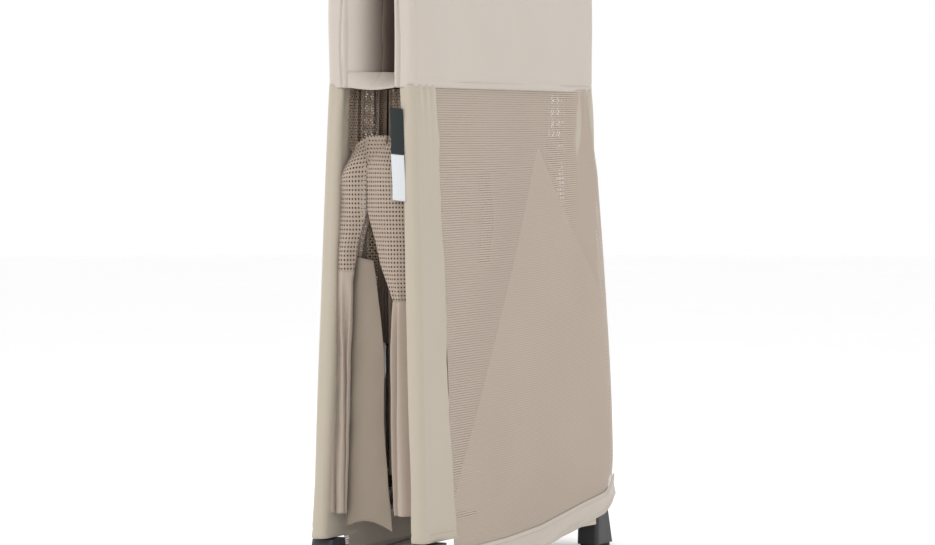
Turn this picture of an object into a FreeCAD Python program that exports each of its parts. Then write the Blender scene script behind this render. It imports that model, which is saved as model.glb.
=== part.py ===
"""Folding playpen, stored folded and standing on its feet.

Two end frames stand face to face, the near end at +X and the far end at -X. Between them the base folds
up in the middle like an inverted V, and on each side a top rail folds down in the middle. All half lengths
are equal, so the base and the rails turn through the same angle while the ends slide apart.
X runs across the folded pack, Y along the width of the ends, Z up from the floor. Millimetres.
"""

import FreeCAD, Part
import os
import sys
import Sketcher

SIZES = {
    # overall
    "total_height": 930, "end_width": 650, "fold_depth": 150, "fabric_gap": 0.3,
    # end frames
    "leg_dia": 18, "leg_bore": 15, "leg_x": 58, "lean": 30, "leg_y": 297, "leg_foot": 30, "leg_top": 884,
    "top_tube_z": 878, "crossbar_dia": 16, "crossbar_z": 98,
    # feet
    "foot_height": 64, "foot_width_low": 66, "foot_width_high": 46, "foot_depth": 38, "pad_height": 6,
    "pad_inset": 5, "foot_splay": 8,
    # corner brackets and rail pivots
    "rail_pivot_z": 864, "hinge_offset": 15, "rail_y": 250, "pin_dia": 6, "ear_gap": 16.6, "ear_thick": 6,
    "bracket_height": 34, "pin_play": 0.05,
    # side rails
    "half_length": 500, "rail_dia": 22, "rail_bore": 18, "knuckle_width": 16, "knuckle_dia": 20,
    "rail_start": 20, "rail_stop": 16, "leaf_width": 7, "leaf_dia": 15, "open_play": 0.4,
    "button_dia": 10, "button_height": 12, "button_proud": 6, "button_z": 404,
    # folding base
    "base_pivot_z": 150, "board_thick": 6, "board_half": 232, "board_start": 14, "board_stop": 14,
    "pivot_tube_dia": 18, "pivot_pin_dia": 8, "mattress_thick": 13, "mattress_half": 226,
    "base_leaf_y": 150, "strap_width": 38, "strap_thick": 2.5,
    # fabric covers
    "band_bottom": 752, "band_depth": 38, "band_wall": 3, "sleeve_depth": 26, "sleeve_bottom": 67,
    "sleeve_top_width": 78, "sleeve_low_width": 108, "sleeve_splay": 12, "sleeve_wall": 2.5, "panel_thick": 3,
    "hem_height": 48, "hem_drop": 8, "cloth_thick": 4,
}

doc = FreeCAD.newDocument("playpen")
sheet = doc.addObject("Spreadsheet::Sheet", "sizes")
for row, (alias, value) in enumerate(SIZES.items(), start=1):
    sheet.set(f"A{row}", alias)
    sheet.set(f"B{row}", str(value))
    sheet.setAlias(f"B{row}", alias)
doc.recompute()

NODES = {}
ENDS = {"near": 1, "far": -1}
SIDES = {"left": -1, "right": 1}


def s(alias):
    """The expression that reads one cell of the sheet."""
    return f"sizes.{alias}"


def bind(obj, **expressions):
    """Binds properties to expressions; a double underscore stands for a dot."""
    for name, expression in expressions.items():
        obj.setExpression(name.replace("__", "."), str(expression))
    return obj


def box(x, y, z, length, width, height):
    """A box centred on x and y that stands on z, all given as expressions."""
    obj = doc.addObject("Part::Box", "box")
    return bind(
        obj, Length=length, Width=width, Height=height,
        Placement__Base__x=f"({x}) - ({length}) / 2",
        Placement__Base__y=f"({y}) - ({width}) / 2",
        Placement__Base__z=z,
    )


def rod(axis, x, y, z, diameter, length):
    """A cylinder along +axis from the point x, y, z."""
    obj = doc.addObject("Part::Cylinder", "rod")
    turns = {
        "x": FreeCAD.Rotation(FreeCAD.Vector(0, 1, 0), 90),
        "y": FreeCAD.Rotation(FreeCAD.Vector(1, 0, 0), -90),
        "z": FreeCAD.Rotation(),
    }
    obj.Placement = FreeCAD.Placement(FreeCAD.Vector(), turns[axis])
    return bind(
        obj, Radius=f"({diameter}) / 2", Height=length,
        Placement__Base__x=x, Placement__Base__y=y, Placement__Base__z=z,
    )


def cross_rod(x, y, z, diameter, length):
    """A cylinder along Y, centred on y."""
    return rod("y", x, f"({y}) - ({length}) / 2", z, diameter, length)


def lean_x(side_x, z):
    """The x of a leg's axis at a height. The legs lean outward, so the pack is wider at the floor."""
    drop = f"({s('rail_pivot_z')} - {z}) / {s('rail_pivot_z')}"
    return f"{side_x} * ({s('leg_x')} + {s('lean')} * {drop})"


def lean(obj, side_x):
    """Tilts something that stands upright so that it follows the lean of the legs."""
    obj.Placement = FreeCAD.Placement(obj.Placement.Base, FreeCAD.Rotation(FreeCAD.Vector(0, -side_x, 0), 1))
    return bind(obj, Placement__Rotation__Angle=f"atan({s('lean')} / {s('rail_pivot_z')})")


def fuse(*shapes):
    obj = doc.addObject("Part::MultiFuse", "fuse")
    obj.Shapes = list(shapes)
    return obj


def cut(base, *tools):
    obj = doc.addObject("Part::Cut", "cut")
    obj.Base = base
    obj.Tool = tools[0] if len(tools) == 1 else fuse(*tools)
    return obj


def group(*shapes):
    """Several separate solids in one node."""
    obj = doc.addObject("Part::Compound", "group")
    obj.Links = list(shapes)
    return obj


def keep(label, obj):
    obj.Label = label
    NODES[label] = obj
    return obj


def plane_of(body, role):
    return next(f for f in body.Origin.OriginFeatures if f.Role == role)


def prism(label, role, points, thickness, x="0", y="0", z="0"):
    """A PartDesign body: a closed outline of straight lines on an origin plane, padded evenly both ways."""
    body = doc.addObject("PartDesign::Body", "body")
    sketch = body.newObject("Sketcher::SketchObject", "outline")
    sketch.AttachmentSupport = (plane_of(body, role), [""])
    sketch.MapMode = "FlatFace"
    values = [tuple(sheet_value(e) for e in point) for point in points]
    count = len(points)
    for k in range(count):
        start, end = values[k], values[(k + 1) % count]
        line = Part.LineSegment(FreeCAD.Vector(*start, 0), FreeCAD.Vector(*end, 0))
        sketch.addGeometry(line, False)
    for k in range(count):
        sketch.addConstraint(Sketcher.Constraint("Coincident", k, 2, (k + 1) % count, 1))
    for k, point in enumerate(points):
        for kind, expression, value in zip(("DistanceX", "DistanceY"), point, values[k]):
            index = sketch.addConstraint(Sketcher.Constraint(kind, -1, 1, k, 1, value))
            sketch.setExpression(f"Constraints[{index}]", str(expression))
    pad = body.newObject("PartDesign::Pad", "pad")
    pad.Profile = sketch
    pad.Midplane = True
    pad.setExpression("Length", str(thickness))
    body.Tip = pad
    bind(body, Placement__Base__x=x, Placement__Base__y=y, Placement__Base__z=z)
    return keep(label, body) if label else body


def sheet_value(expression):
    """What an expression of the sheet comes to, used to draw a sketch before its constraints are bound."""
    return float(sheet.evalExpression(str(expression).replace("sizes.", "")))


def build_end(end, side_x):
    """One end frame: tubes, feet, brackets and the fabric that covers it."""
    leg_x = f"{side_x} * {s('leg_x')}"
    keep(f"{end}_top_tube", cut(
        cross_rod(leg_x, "0", s("top_tube_z"), s("leg_dia"), f"2 * ({s('leg_y')} - 16)"),
        cross_rod(leg_x, "0", s("top_tube_z"), s("leg_bore"), f"2 * {s('leg_y')}"),
    ))
    bar_length = f"2 * ({s('leg_y')} - {s('leg_dia')} / 2 - 0.2)"
    keep(f"{end}_crossbar", cut(
        cross_rod(lean_x(side_x, s("crossbar_z")), "0", s("crossbar_z"), s("crossbar_dia"), bar_length),
        cross_rod(lean_x(side_x, s("crossbar_z")), "0", s("crossbar_z"), f"{s('crossbar_dia')} - 3",
                  f"2 * {s('leg_y')}"),
    ))
    pins = []
    base_brackets = []
    pads = []
    for side, side_y in SIDES.items():
        leg_y = f"{side_y} * {s('leg_y')}"
        build_leg(end, side, side_x, leg_y)
        build_foot(end, side, side_x, side_y, leg_y)
        pads.append(foot_pad(side_x, side_y))
        pins.append(rail_pin(side_x, side_y))
        base_brackets.append(base_bracket(side_x, side_y, leg_y))
        build_corner_bracket(end, side, side_x, side_y, leg_x, leg_y)
        build_sleeve(end, side, side_x, side_y, leg_y)
    keep(f"{end}_foot_pads", group(*pads))
    keep(f"{end}_rail_pins", group(*pins))
    keep(f"{end}_base_brackets", group(*base_brackets))
    build_band(end, side_x)
    build_panel(end, side_x)


def leg_rod(side_x, leg_y, low, diameter, length):
    """A cylinder on the leaning axis of a leg, from the height low."""
    return lean(rod("z", lean_x(side_x, f"({low})"), leg_y, low, diameter, length), side_x)


def build_leg(end, side, side_x, leg_y):
    height = f"{s('leg_top')} - {s('leg_foot')} - 20"
    keep(f"{end}_leg_{side}", cut(
        leg_rod(side_x, leg_y, s("leg_foot"), s("leg_dia"), height),
        leg_rod(side_x, leg_y, f"{s('leg_foot')} - 1", s("leg_bore"), f"{height} + 2"),
    ))


def build_foot(end, side, side_x, side_y, leg_y):
    """A moulded shoe, wider at the floor and splayed outward, that the leg tube plugs into."""
    low, high = f"{s('foot_width_low')} / 2", f"{s('foot_width_high')} / 2"
    shift = f"{side_y} * {s('foot_splay')}"
    bottom = s("pad_height")
    shoe = prism(None, "YZ_Plane", [
        (f"{leg_y} + {shift} - {low}", bottom), (f"{leg_y} + {shift} + {low}", bottom),
        (f"{leg_y} + {high}", s("foot_height")), (f"{leg_y} - {high}", s("foot_height")),
    ], s("foot_depth"), x=lean_x(side_x, s("leg_foot")))
    socket = leg_rod(side_x, leg_y, s("leg_foot"), f"{s('leg_dia')} + 0.2", "60")
    rounded = doc.addObject("Part::Fillet", "rounded")
    rounded.Base = shoe
    doc.recompute()
    upright = [i + 1 for i, e in enumerate(shoe.Shape.Edges) if is_slanted_upright(e)]
    rounded.Edges = [(i, 7.0, 7.0) for i in upright]
    keep(f"{end}_foot_{side}", cut(rounded, socket))


def is_slanted_upright(edge):
    """True for the four edges that run from the floor side of a foot to its top."""
    low, high = edge.Vertexes[0].Point, edge.Vertexes[-1].Point
    return abs(high.z - low.z) > 20


def foot_pad(side_x, side_y):
    width = f"{s('foot_width_low')} - 2 * {s('pad_inset')}"
    depth = f"{s('foot_depth')} - 2 * {s('pad_inset')}"
    centre = f"{side_y} * ({s('leg_y')} + {s('foot_splay')})"
    return box(lean_x(side_x, s("leg_foot")), centre, "0", depth, width, s("pad_height"))


def rail_pin(side_x, side_y):
    """The pin that a side rail turns on, held in the two ears of a corner bracket."""
    return cross_rod(f"{side_x} * {s('hinge_offset')}", f"{side_y} * {s('rail_y')}", s("rail_pivot_z"),
                     s("pin_dia"), f"{s('ear_gap')} + 2 * {s('ear_thick')}")


def build_corner_bracket(end, side, side_x, side_y, leg_x, leg_y):
    """A plastic corner that clamps the leg and the top tube and carries the rail between two ears."""
    pivot_x = f"{side_x} * {s('hinge_offset')}"
    rail_y = f"{side_y} * {s('rail_y')}"
    bottom = f"({s('rail_pivot_z')} - {s('bracket_height')} / 2)"
    height = s("bracket_height")
    inner = f"({s('rail_y')} - {s('ear_gap')} / 2 - {s('ear_thick')})"
    outer = f"({s('leg_y')} + {s('leg_dia')} / 2 + 4)"
    block = box(leg_x, f"{side_y} * ({inner} + {outer}) / 2", bottom, "24", f"{outer} - {inner}", height)
    arm_width = f"{s('ear_gap')} + 2 * {s('ear_thick')}"
    reach = f"({s('leg_x')} - {s('hinge_offset')})"
    arm = box(f"{side_x} * ({s('leg_x')} + {s('hinge_offset')}) / 2", rail_y, bottom, reach, arm_width, height)
    nose = cross_rod(pivot_x, rail_y, s("rail_pivot_z"), "22", arm_width)
    slot_x = f"{side_x} * ({s('hinge_offset')} + 24 / 2 - 14)"
    slot = box(slot_x, rail_y, f"{s('rail_pivot_z')} - 40", "28", s("ear_gap"), "80")
    leg_hole = leg_rod(side_x, leg_y, f"{bottom} - 1", s("leg_dia"), f"{s('leg_top')} - 20 - {bottom} + 1")
    pin_hole = cross_rod(pivot_x, rail_y, s("rail_pivot_z"), s("pin_dia"), "60")
    tube_hole = cross_rod(leg_x, "0", s("top_tube_z"), s("leg_dia"), f"2 * ({s('leg_y')} - 16)")
    relief = box(f"{side_x} * ({s('hinge_offset')} - 6)", rail_y, f"{s('rail_pivot_z')} - 40",
                 "34", s("ear_gap"), "40")
    keep(f"{end}_corner_bracket_{side}", cut(fuse(block, arm, nose), slot, relief, leg_hole, pin_hole, tube_hole))


def base_bracket(side_x, side_y, leg_y):
    """A plate clamped to the leg, with a stub pin that the pivot tube of the base turns on."""
    pivot_x = f"{side_x} * {s('hinge_offset')}"
    inner = f"({s('board_half')} + 4)"
    outer = f"({s('leg_y')} + {s('leg_dia')} / 2 + 3)"
    bottom = f"({s('base_pivot_z')} - 14)"
    leg_x = lean_x(side_x, s("base_pivot_z"))
    clamp = box(leg_x, leg_y, bottom, "20", "26", "28")
    arm_y = f"{side_y} * ({inner} + {s('leg_y')}) / 2"
    arm_x = f"({side_x} * 25 + {leg_x}) / 2"
    arm = box(arm_x, arm_y, bottom, f"{lean_x(1, s('base_pivot_z'))} - 25", f"{s('leg_y')} - {inner}", "28")
    ear = box(f"{side_x} * 26", f"{side_y} * ({inner} + 6)", bottom, "30", "12", "28")
    nose = cross_rod(pivot_x, f"{side_y} * ({inner} + 6)", s("base_pivot_z"), "24", "12")
    pin = cross_rod(pivot_x, f"{side_y} * ({inner} - 7)", s("base_pivot_z"), s("pivot_pin_dia"), "26")
    hole = leg_rod(side_x, leg_y, f"{bottom} - 1", s("leg_dia"), "30")
    return cut(fuse(clamp, arm, ear, nose, pin), hole)


def build_sleeve(end, side, side_x, side_y, leg_y):
    """The fabric sleeve round a leg, wider towards the floor and open at both ends."""
    wall = s("sleeve_wall")
    foot_x = lean_x(side_x, 0)
    outer = prism(None, "YZ_Plane", sleeve_outline(side_y, "0", "0"), s("sleeve_depth"), x=foot_x)
    inner = prism(None, "YZ_Plane", sleeve_outline(side_y, wall, "1"), f"{s('sleeve_depth')} - 2 * {wall}",
                  x=foot_x)
    lean(outer, side_x)
    lean(inner, side_x)
    room_end = f"({lean_x(1, s('base_pivot_z'))} + 10.8)"
    bracket_room = box(f"{side_x} * (30 + {room_end}) / 2", f"{leg_y} - {side_y} * 26",
                       f"{s('base_pivot_z')} - 15", f"{room_end} - 30", "84", "30")
    bar_room = cross_rod(lean_x(side_x, s("crossbar_z")), "0", s("crossbar_z"), f"{s('crossbar_dia')} + 1",
                         f"2 * {s('leg_y')}")
    keep(f"{end}_sleeve_{side}", cut(outer, inner, bracket_room, bar_room))


def sleeve_outline(side_y, inset, overrun):
    """The four corners of a sleeve seen along X, moved in from the sides and out past the ends."""
    out_high = f"{side_y} * ({s('end_width')} / 2 - {inset})"
    out_low = f"{side_y} * ({s('end_width')} / 2 + {s('sleeve_splay')} - {inset})"
    top = f"{s('band_bottom')} - {s('fabric_gap')} + {overrun}"
    bottom = f"{s('sleeve_bottom')} - {overrun}"
    return [
        (f"{out_low} - {side_y} * ({s('sleeve_low_width')} - 2 * {inset})", bottom), (out_low, bottom),
        (out_high, top), (f"{out_high} - {side_y} * ({s('sleeve_top_width')} - 2 * {inset})", top),
    ]


def build_band(end, side_x):
    """The deep padded band over the top tube: a cover with walls, open below where the legs come out."""
    depth, wall = s("band_depth"), s("band_wall")
    centre = f"{side_x} * ({s('fold_depth')} / 2 - {depth} / 2)"
    height = f"{s('total_height')} - {s('band_bottom')}"
    outer = box(centre, "0", s("band_bottom"), depth, s("end_width"), height)
    inner = box(centre, "0", f"{s('band_bottom')} - 1", f"{depth} - 2 * {wall}",
                f"{s('end_width')} - 2 * {wall}", f"{height} - {wall} + 1")
    notches = [
        box(f"{side_x} * 32", f"{side_y} * {s('rail_y')}", f"{s('rail_pivot_z')} - 24", "20", "60", "48")
        for side_y in SIDES.values()
    ]
    keep(f"{end}_top_band", cut(outer, inner, *notches))


def build_panel(end, side_x):
    """The mesh between the legs of an end, and the solid hem below it."""
    inner_high = f"({s('end_width')} / 2 - {s('sleeve_top_width')} - {s('fabric_gap')})"
    inner_low = f"({s('end_width')} / 2 + {s('sleeve_splay')} - {s('sleeve_low_width')} - {s('fabric_gap')})"
    low = f"({s('sleeve_bottom')} + {s('hem_height')} + {s('hem_drop')})"
    top = f"({s('band_bottom')} - {s('fabric_gap')})"
    x = f"{lean_x(side_x, 0)} + {side_x} * ({s('sleeve_depth')} / 2 - {s('panel_thick')} / 2 - 1)"
    panel = prism(f"{end}_mesh_panel", "YZ_Plane",
                  [(f"-{inner_low}", low), (inner_low, low), (inner_high, top), (f"-{inner_high}", top)],
                  s("panel_thick"), x=x)
    hem_low = f"{s('sleeve_bottom')} + {s('hem_drop')}"
    hem_top = f"{low} - {s('fabric_gap')}"
    hem = prism(f"{end}_hem", "YZ_Plane",
                [(f"-({inner_low} - 1)", hem_low), (f"{inner_low} - 1", hem_low),
                 (f"{inner_low} - 1", hem_top), (f"-({inner_low} - 1)", hem_top)],
                f"{s('panel_thick')} + 1", x=x)
    lean(panel, side_x)
    lean(hem, side_x)


def build_rail(end, side, side_x, side_y):
    """Half of a side rail as it hangs when folded: pivot knuckle, tube and the leaf of the middle hinge."""
    x, y = f"{side_x} * {s('hinge_offset')}", f"{side_y} * {s('rail_y')}"
    pivot_z = s("rail_pivot_z")
    start, stop = s("rail_start"), s("rail_stop")
    tube_low = f"{pivot_z} - {s('half_length')} + {stop}"
    tube_length = f"{s('half_length')} - {start} - {stop}"
    name = f"{end}_{side}_rail"
    tube = rod("z", x, y, tube_low, s("rail_dia"), tube_length)
    bore = rod("z", x, y, f"{tube_low} + 2", s("rail_bore"), f"{tube_length} - 30")
    tools = [bore]
    if end == "near":
        tools.append(rod("x", x, y, s("button_z"), f"{s('button_dia')} + 0.6", s("rail_dia")))
    keep(f"{name}_tube", cut(tube, *tools))
    eye = cross_rod(x, y, pivot_z, s("knuckle_dia"), s("knuckle_width"))
    neck = box(x, y, f"{pivot_z} - {start}", "14", s("knuckle_width"), start)
    pin_hole = cross_rod(x, y, pivot_z, f"{s('pin_dia')} + 2 * {s('pin_play')}", "40")
    keep(f"{name}_knuckle", cut(fuse(eye, neck), pin_hole))
    keep(f"{name}_leaf", middle_leaf(end, side_x, x, y, f"{pivot_z} - {s('half_length')}", stop, 1))


def middle_leaf(end, side_x, x, y, z, reach, up):
    """One half of a middle hinge. The near half carries the pin, and the far half has two ears round it."""
    sign = "+" if up > 0 else "-"
    width = s("leaf_width")
    ear_shift = f"({width} + {s('open_play')})"
    foot_z = f"{z}" if up > 0 else f"{z} - {reach}"
    full = f"3 * {width} + 2 * {s('open_play')}"
    root = box(x, y, f"{z} {sign} {reach} - {'4' if up > 0 else '0'}", "16", full, "4")
    pieces = [root]
    offsets = ["0"] if end == "near" else [f"{ear_shift}", f"-{ear_shift}"]
    for offset in offsets:
        at = f"({y}) + {offset}"
        pieces.append(cross_rod("0", at, z, s("leaf_dia"), width))
        pieces.append(box(f"{side_x} * 11", at, foot_z, "14", width, reach))
    body = fuse(*pieces)
    if end == "near":
        return fuse(body, cross_rod("0", y, z, s("pin_dia"), f"{full} + 2"))
    return cut(body, cross_rod("0", y, z, f"{s('pin_dia')} + 2 * {s('open_play')}", "40"))


def build_base_half(end, side_x):
    """Half of the folding floor as it stands when folded: pivot tube, board, mattress and hinge leaves."""
    x, z = f"{side_x} * {s('hinge_offset')}", s("base_pivot_z")
    board_low = f"{z} + {s('board_start')}"
    board_height = f"{s('half_length')} - {s('board_start')} - {s('board_stop')}"
    width = f"2 * {s('board_half')}"
    name = f"{end}_base"
    tube = cross_rod(x, "0", z, s("pivot_tube_dia"), width)
    bore = cross_rod(x, "0", z, f"{s('pivot_pin_dia')} + 2 * {s('pin_play')}", f"{width} + 2")
    webs = [box(x, f"{k} * 140", f"{z} + 6", "8", "30", f"{s('board_start')} - 6") for k in (-1, 0, 1)]
    keep(f"{name}_pivot_tube", cut(fuse(tube, *webs), bore))
    keep(f"{name}_board", box(x, "0", board_low, s("board_thick"), width, board_height))
    pad_x = f"{side_x} * ({s('hinge_offset')} + {s('board_thick')} / 2 + {s('mattress_thick')} / 2 + 0.3)"
    keep(f"{name}_mattress", box(pad_x, "0", f"{board_low} + 4", s("mattress_thick"),
                                 f"2 * {s('mattress_half')}", f"{board_height} - 8"))
    leaves = [
        middle_leaf(end, side_x, x, f"{k} * {s('base_leaf_y')}", f"{z} + {s('half_length')}", s("board_stop"), -1)
        for k in (-1, 1)
    ]
    keep(f"{name}_hinge_leaves", group(*leaves))


def build_latch(side, side_y):
    """The push button that frees the middle hinge of a side rail. It sits under the rail when that is unfolded."""
    x = f"{s('hinge_offset')} + {s('rail_dia')} / 2 + {s('button_proud')} - {s('button_height')}"
    keep(f"{side}_latch_button",
         rod("x", x, f"{side_y} * {s('rail_y')}", s("button_z"), s("button_dia"), s("button_height")))


def build_side_fabric(side, side_y):
    """The side cloth as it lies folded in the gap: two slanted leaves per half that meet deep inside."""
    half_gap = f"({s('fold_depth')} / 2 - {s('band_depth')} - {s('fabric_gap')})"
    outer = f"{side_y} * ({s('end_width')} / 2 - 4)"
    deep = f"{side_y} * ({s('rail_y')} + {s('rail_dia')} / 2 + 6)"
    thick = s("cloth_thick")
    solids = []
    low_edges = [(f"{s('band_bottom')}", "83"), (f"{s('band_bottom')} - 330", "326")]
    for low, height in low_edges:
        profile = [
            (f"-{half_gap}", outer), (f"-{half_gap} + {thick}", outer), ("0", f"{deep} + {side_y} * {thick}"),
            (f"{half_gap} - {thick}", outer), (half_gap, outer), ("0", deep),
        ]
        solids.append(prism(None, "XY_Plane", profile, height, z=f"{low} + {height} / 2"))
    for side_x in ENDS.values():
        plate_y = f"{side_y} * ({s('rail_y')} + {s('rail_dia')} / 2 + 14)"
        solids.append(box(f"{side_x} * 24", plate_y, "170", "12", thick, f"{s('band_bottom')} - 334 - 170"))
    keep(f"{side}_side_fabric", group(*solids))


for end_name, sign_x in ENDS.items():
    build_end(end_name, sign_x)
    build_base_half(end_name, sign_x)
    for side_name, sign_y in SIDES.items():
        build_rail(end_name, side_name, sign_x, sign_y)
for side_name, sign_y in SIDES.items():
    build_latch(side_name, sign_y)
    build_side_fabric(side_name, sign_y)
strap_x = f"{s('hinge_offset')} + {s('board_thick')} / 2 + {s('mattress_thick')} + {s('strap_thick')} / 2 + 0.5"
keep("base_pull_strap", box(strap_x, "0", f"{s('base_pivot_z')} + 330", s("strap_thick"), s("strap_width"), "140"))

doc.recompute()
failed = [o.Label for o in doc.Objects if {"Invalid", "Error"} & set(o.State)]
if failed:
    sys.exit(f"these objects failed: {failed}")
os.makedirs("parts", exist_ok=True)
for label, obj in NODES.items():
    shape = obj.Shape
    if shape.isNull() or not shape.isValid() or not shape.Solids:
        sys.exit(f"{label} has no valid solid")
    shape.exportStep(os.path.join("parts", f"{label}.step"))
print(len(NODES), "nodes written")
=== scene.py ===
"""A folding playpen, stored folded, on a plain pale floor."""

import math

import bpy
import numpy as np
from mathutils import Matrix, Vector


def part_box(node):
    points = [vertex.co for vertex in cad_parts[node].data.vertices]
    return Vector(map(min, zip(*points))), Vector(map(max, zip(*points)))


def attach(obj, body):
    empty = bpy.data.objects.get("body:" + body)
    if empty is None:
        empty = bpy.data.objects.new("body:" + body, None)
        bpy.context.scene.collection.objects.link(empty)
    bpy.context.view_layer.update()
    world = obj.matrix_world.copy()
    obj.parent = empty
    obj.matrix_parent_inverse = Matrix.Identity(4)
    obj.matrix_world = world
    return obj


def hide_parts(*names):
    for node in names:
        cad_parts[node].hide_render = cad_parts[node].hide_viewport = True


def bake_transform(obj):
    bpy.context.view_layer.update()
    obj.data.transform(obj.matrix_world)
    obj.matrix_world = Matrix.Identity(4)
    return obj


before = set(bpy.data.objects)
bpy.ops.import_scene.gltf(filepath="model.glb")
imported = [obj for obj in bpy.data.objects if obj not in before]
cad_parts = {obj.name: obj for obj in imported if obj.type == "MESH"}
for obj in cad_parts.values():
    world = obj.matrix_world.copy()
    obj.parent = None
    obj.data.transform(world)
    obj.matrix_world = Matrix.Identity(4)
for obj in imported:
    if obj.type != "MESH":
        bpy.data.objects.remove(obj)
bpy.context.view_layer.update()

TAU = 2 * math.pi

# places and sizes of the frame, in metres
BAND_LOW, BAND_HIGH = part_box("near_top_band")
END_HALF = BAND_HIGH[1]
BAND_INNER_X, BAND_OUTER_X = BAND_LOW[0], BAND_HIGH[0]
BAND_BOTTOM, BAND_TOP = BAND_LOW[2], BAND_HIGH[2]
SLEEVE_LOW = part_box("near_sleeve_left")[0]
SLEEVE_BOTTOM = SLEEVE_LOW[2]
SLEEVE_OUT_LOW, SLEEVE_OUT_HIGH = -SLEEVE_LOW[1], END_HALF
SLEEVE_WIDTH_LOW, SLEEVE_WIDTH_HIGH = 0.108, 0.078
SLEEVE_HALF_DEPTH = 0.013
PIN_Z = sum(c[2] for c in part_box("near_rail_pins")) / 2
BASE_Z = 0.150  # height of the pivots where the floor halves meet the ends
HALF = 0.500  # length of a floor half and of a rail half, pivot to pivot
CLOTH_THICK = 0.0012  # a single layer of cloth
TOP_TUBE_X = sum(c[0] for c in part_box("near_top_tube")) / 2
FOOT_X = sum(c[0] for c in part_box("near_foot_left")) / 2
FOOT_AXIS_Z = 0.030


def leg_x(z):
    """Distance of a leg's axis from the middle plane at a height; the legs lean outward."""
    return TOP_TUBE_X + (FOOT_X - TOP_TUBE_X) * (PIN_Z - z) / (PIN_Z - FOOT_AXIS_Z)


def share(value, low, high):
    """How far a value is on the way from low to high, between 0 and 1."""
    return np.clip((np.asarray(value, float) - low) / (high - low), 0, 1)


def ease(t):
    """A smooth step from 0 to 1."""
    t = np.clip(t, 0, 1)
    return t * t * (3 - 2 * t)


def sleeve_outer(z):
    """Distance of a sleeve's outer edge from the middle of an end at a height."""
    down = 1 - share(z, SLEEVE_BOTTOM, BAND_BOTTOM)
    return SLEEVE_OUT_HIGH + (SLEEVE_OUT_LOW - SLEEVE_OUT_HIGH) * down


def sleeve_width(z):
    """Width of a sleeve at a height."""
    down = 1 - share(z, SLEEVE_BOTTOM, BAND_BOTTOM)
    return SLEEVE_WIDTH_HIGH + (SLEEVE_WIDTH_LOW - SLEEVE_WIDTH_HIGH) * down


# ---------------------------------------------------------------- materials

def srgb(red, green, blue):
    """A colour given as it looks on a screen, as the linear colour that Blender wants."""
    channels = [c / 255 for c in (red, green, blue)]
    return tuple(c / 12.92 if c <= 0.04045 else ((c + 0.055) / 1.055) ** 2.4 for c in channels) + (1.0,)


class Graph:
    """A small builder of node materials."""

    def __init__(self, name, roughness=0.85, metallic=0.0, sheen=0.0, specular=0.5, coat=0.0):
        self.material = bpy.data.materials.new(name)
        self.material.use_nodes = True
        self.tree = self.material.node_tree
        self.tree.nodes.clear()
        self.out = self.tree.nodes.new("ShaderNodeOutputMaterial")
        self.shader = self.tree.nodes.new("ShaderNodeBsdfPrincipled")
        for socket, value in (("Roughness", roughness), ("Metallic", metallic), ("Sheen Weight", sheen),
                              ("Specular IOR Level", specular), ("Coat Weight", coat)):
            self.shader.inputs[socket].default_value = value
        self.tree.links.new(self.shader.outputs[0], self.out.inputs[0])
        self.place = self.tree.nodes.new("ShaderNodeTexCoord")

    def node(self, kind, **settings):
        node = self.tree.nodes.new(kind)
        for name, value in settings.items():
            setattr(node, name, value)
        return node

    def join(self, source, target):
        if isinstance(source, (int, float)):
            target.default_value = source
        else:
            self.tree.links.new(source, target)

    def math(self, operation, *values):
        node = self.node("ShaderNodeMath", operation=operation)
        for value, socket in zip(values, node.inputs):
            self.join(value, socket)
        return node.outputs[0]

    def noise(self, scale, detail=3.0, stretch=(1, 1, 1), space="Object"):
        mapping = self.node("ShaderNodeMapping")
        mapping.inputs["Scale"].default_value = stretch
        self.join(self.place.outputs[space], mapping.inputs["Vector"])
        noise = self.node("ShaderNodeTexNoise")
        noise.inputs["Scale"].default_value = scale
        noise.inputs["Detail"].default_value = detail
        self.join(mapping.outputs[0], noise.inputs["Vector"])
        return noise.outputs["Fac"]

    def blend(self, factor, first, second):
        mix = self.node("ShaderNodeMix", data_type="RGBA")
        self.join(factor, mix.inputs["Factor"])
        for value, socket in ((first, mix.inputs[6]), (second, mix.inputs[7])):
            if isinstance(value, tuple):
                socket.default_value = value
            else:
                self.join(value, socket)
        return mix.outputs[2]

    def bump(self, height, distance, strength, before=None):
        bump = self.node("ShaderNodeBump")
        bump.inputs["Distance"].default_value = distance
        bump.inputs["Strength"].default_value = strength
        self.join(height, bump.inputs["Height"])
        if before is not None:
            self.join(before, bump.inputs["Normal"])
        return bump.outputs[0]

    def finish(self, colour, normal=None, roughness=None):
        self.join(colour, self.shader.inputs["Base Color"])
        if normal is not None:
            self.join(normal, self.shader.inputs["Normal"])
        if roughness is not None:
            self.join(roughness, self.shader.inputs["Roughness"])
        return self.material

    def cloth_axes(self):
        split = self.node("ShaderNodeSeparateXYZ")
        self.join(self.place.outputs["UV"], split.inputs[0])
        return split.outputs[0], split.outputs[1]


def shade(colour, factor):
    return tuple(min(1.0, c * factor) for c in colour[:3]) + (1.0,)


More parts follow.
